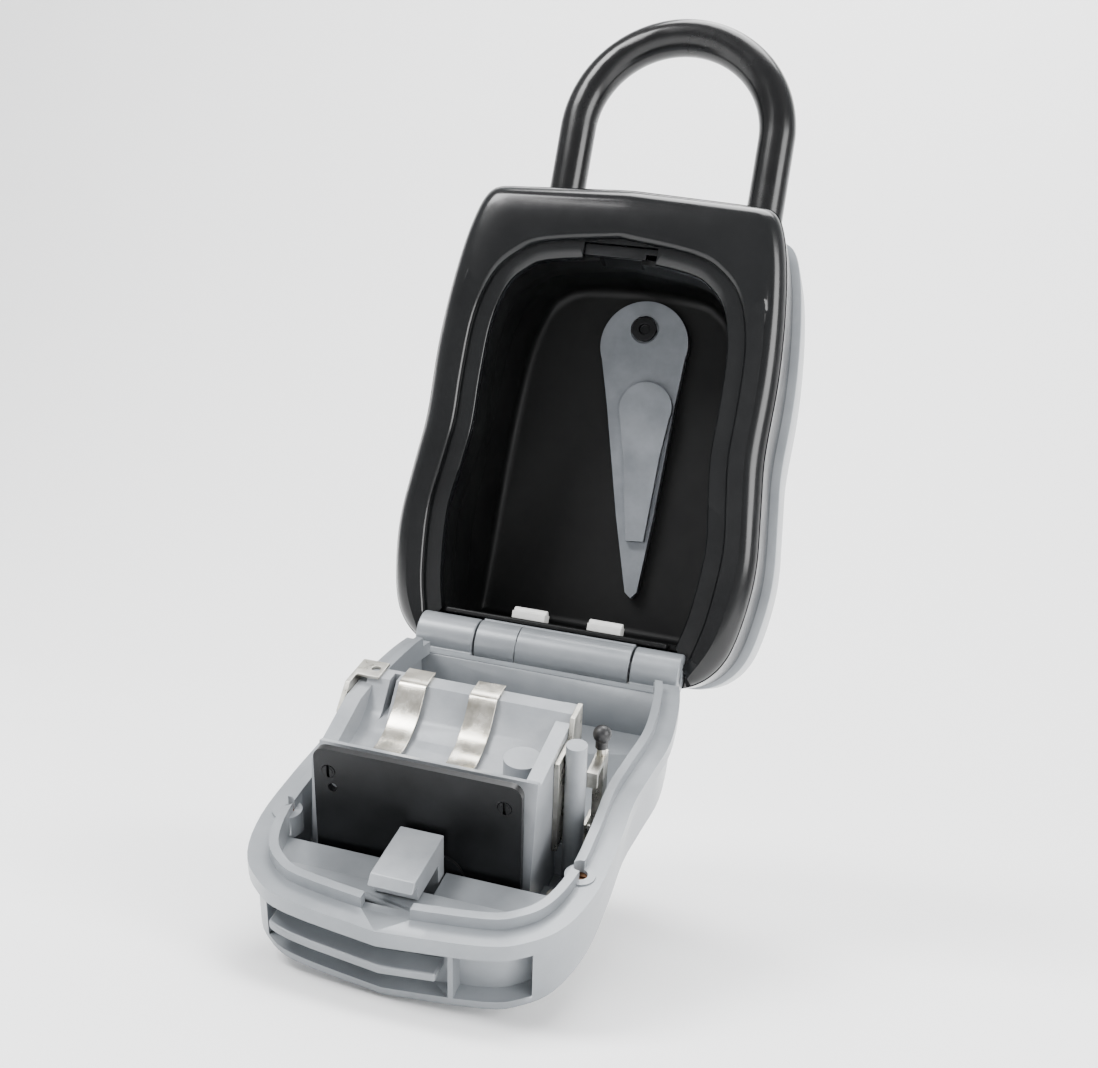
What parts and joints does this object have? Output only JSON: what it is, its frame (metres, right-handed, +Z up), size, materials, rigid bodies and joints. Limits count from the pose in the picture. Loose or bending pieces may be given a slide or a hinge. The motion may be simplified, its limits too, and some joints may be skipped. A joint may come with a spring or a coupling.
{
  "type": "portable key lock box",
  "caption": "Portable key safe on a shackle: hollow body, hinged door carrying code wheels and latch, release lever inside.",
  "frame": {"origin": "inside top of the shackle's bow, where it hangs on a bar or a knob, on the shackle's middle plane", "axes": "+X to the right seen from the front, +Y from the front towards the back, +Z up; the door stands open"},
  "size_m": [0.0824, 0.1246, 0.2109],
  "materials": {
    "painted_zinc": "satin paint on die-cast zinc",
    "jacket_vinyl": "glossy",
    "liner_plastic": "matte moulded",
    "cast_zinc": "bare zinc casting",
    "blackened_steel": "blackened",
    "pin_steel": "ground",
    "pad_plastic": "moulded",
    "black_nylon": "matte",
    "lever_zinc": "satin",
    "bolt_steel": "ground",
    "screw_steel": "zinc plated",
    "rubber_pad": "matte",
    "bar_steel": "plated",
    "sleeve_vinyl": "soft gloss",
    "housing_zinc": "satin",
    "wheel_plastic": "satin, with white figures",
    "sleeve_brass": "turned",
    "spring_steel": "bright strip",
    "bracket_steel": "bright strip",
    "brown_screw": "browned",
    "shutter_plastic": "satin"
  },
  "bodies": {
    "case": {"back_shell": "painted_zinc", "front_jacket": "jacket_vinyl", "cavity_liner": "liner_plastic", "shackle_block": "cast_zinc", "strike_plate": "blackened_steel", "hinge_leaf": "painted_zinc", "hinge_pin": "pin_steel", "floor_pads": "pad_plastic", "shackle_bushings": "black_nylon", "lever_pivot": "blackened_steel", "rear_screws": "screw_steel", "rear_pads": "rubber_pad"},
    "door": {"door_shell": "painted_zinc", "door_knuckles": "painted_zinc", "shutter_ears": "painted_zinc", "end_deck": "painted_zinc", "thumb_lip": "painted_zinc", "dial_housing": "housing_zinc", "dial_axle": "pin_steel", "detent_spring_left": "spring_steel", "detent_spring_right": "spring_steel", "mechanism_plate": "blackened_steel", "plate_screws": "screw_steel", "end_bracket": "bracket_steel", "side_bracket": "bracket_steel", "reset_bracket": "bracket_steel", "reset_pin": "pin_steel", "housing_screws": "screw_steel", "shutter_pin": "pin_steel", "rim_screws": "brown_screw"},
    "latch": {"latch_yoke": "bolt_steel", "latch_tongue": "housing_zinc", "open_slide": "black_nylon"},
    "shutter": {"dial_shutter": "shutter_plastic"},
    "reset": {"reset_lever": "bracket_steel", "reset_knob": "black_nylon"},
    "shackle": {"shackle_bar": "bar_steel", "shackle_sleeve": "sleeve_vinyl"},
    "lever": {"release_lever": "lever_zinc"},
    "bolt_left": {"lock_bolt_left": "bolt_steel"},
    "bolt_right": {"lock_bolt_right": "bolt_steel"},
    "dial_1": {"code_wheel_1": "wheel_plastic", "code_sleeve_1": "sleeve_brass"},
    "dial_2": {"code_wheel_2": "wheel_plastic", "code_sleeve_2": "sleeve_brass"},
    "dial_3": {"code_wheel_3": "wheel_plastic", "code_sleeve_3": "sleeve_brass"},
    "dial_4": {"code_wheel_4": "wheel_plastic", "code_sleeve_4": "sleeve_brass"}
  },
  "joints": [
    {"name": "door_hinge", "type": "hinge", "parent": "case", "child": "door", "pos_m": [0, -0.0385, -0.148], "axis": [1, 0, 0], "range_deg": [-120, 0]},
    {"name": "latch_slide", "type": "slide", "parent": "door", "child": "latch", "axis": [0, -0.866, -0.5], "range_m": [0, 0.004]},
    {"name": "shutter_hinge", "type": "hinge", "parent": "door", "child": "shutter", "pos_m": [0, -0.06569, -0.1809], "axis": [1, 0, 0], "range_deg": [0, 110]},
    {"name": "reset_hinge", "type": "hinge", "parent": "door", "child": "reset", "pos_m": [0.0225, -0.0729, -0.17641], "axis": [1, 0, 0], "range_deg": [-35, 0]},
    {"name": "shackle_slide", "type": "slide", "parent": "case", "child": "shackle", "axis": [0, 0, 1], "range_m": [0, 0.018]},
    {"name": "release_lever_hinge", "type": "hinge", "parent": "case", "child": "lever", "pos_m": [0.0022, -0.0075, -0.0706], "axis": [0, 1, 0], "range_deg": [0, 20]},
    {"name": "bolt_left_slide", "type": "slide", "parent": "case", "child": "bolt_left", "axis": [-1, 0, 0], "range_m": [0, 0.0027]},
    {"name": "bolt_right_slide", "type": "slide", "parent": "case", "child": "bolt_right", "axis": [1, 0, 0], "range_m": [0, 0.0027]},
    {"name": "dial_1_spin", "type": "hinge", "parent": "door", "child": "dial_1", "pos_m": [-0.0102, -0.0826, -0.17762], "axis": [1, 0, 0], "continuous": true},
    {"name": "dial_2_spin", "type": "hinge", "parent": "door", "child": "dial_2", "pos_m": [-0.0034, -0.0826, -0.17762], "axis": [1, 0, 0], "continuous": true},
    {"name": "dial_3_spin", "type": "hinge", "parent": "door", "child": "dial_3", "pos_m": [0.0034, -0.0826, -0.17762], "axis": [1, 0, 0], "continuous": true},
    {"name": "dial_4_spin", "type": "hinge", "parent": "door", "child": "dial_4", "pos_m": [0.0102, -0.0826, -0.17762], "axis": [1, 0, 0], "continuous": true}
  ],
  "couplings": [
    {"joint": "bolt_left_slide", "follows": "release_lever_hinge", "m_per_rad": 0.0077349},
    {"joint": "bolt_right_slide", "follows": "release_lever_hinge", "m_per_rad": 0.0077349}
  ]
}
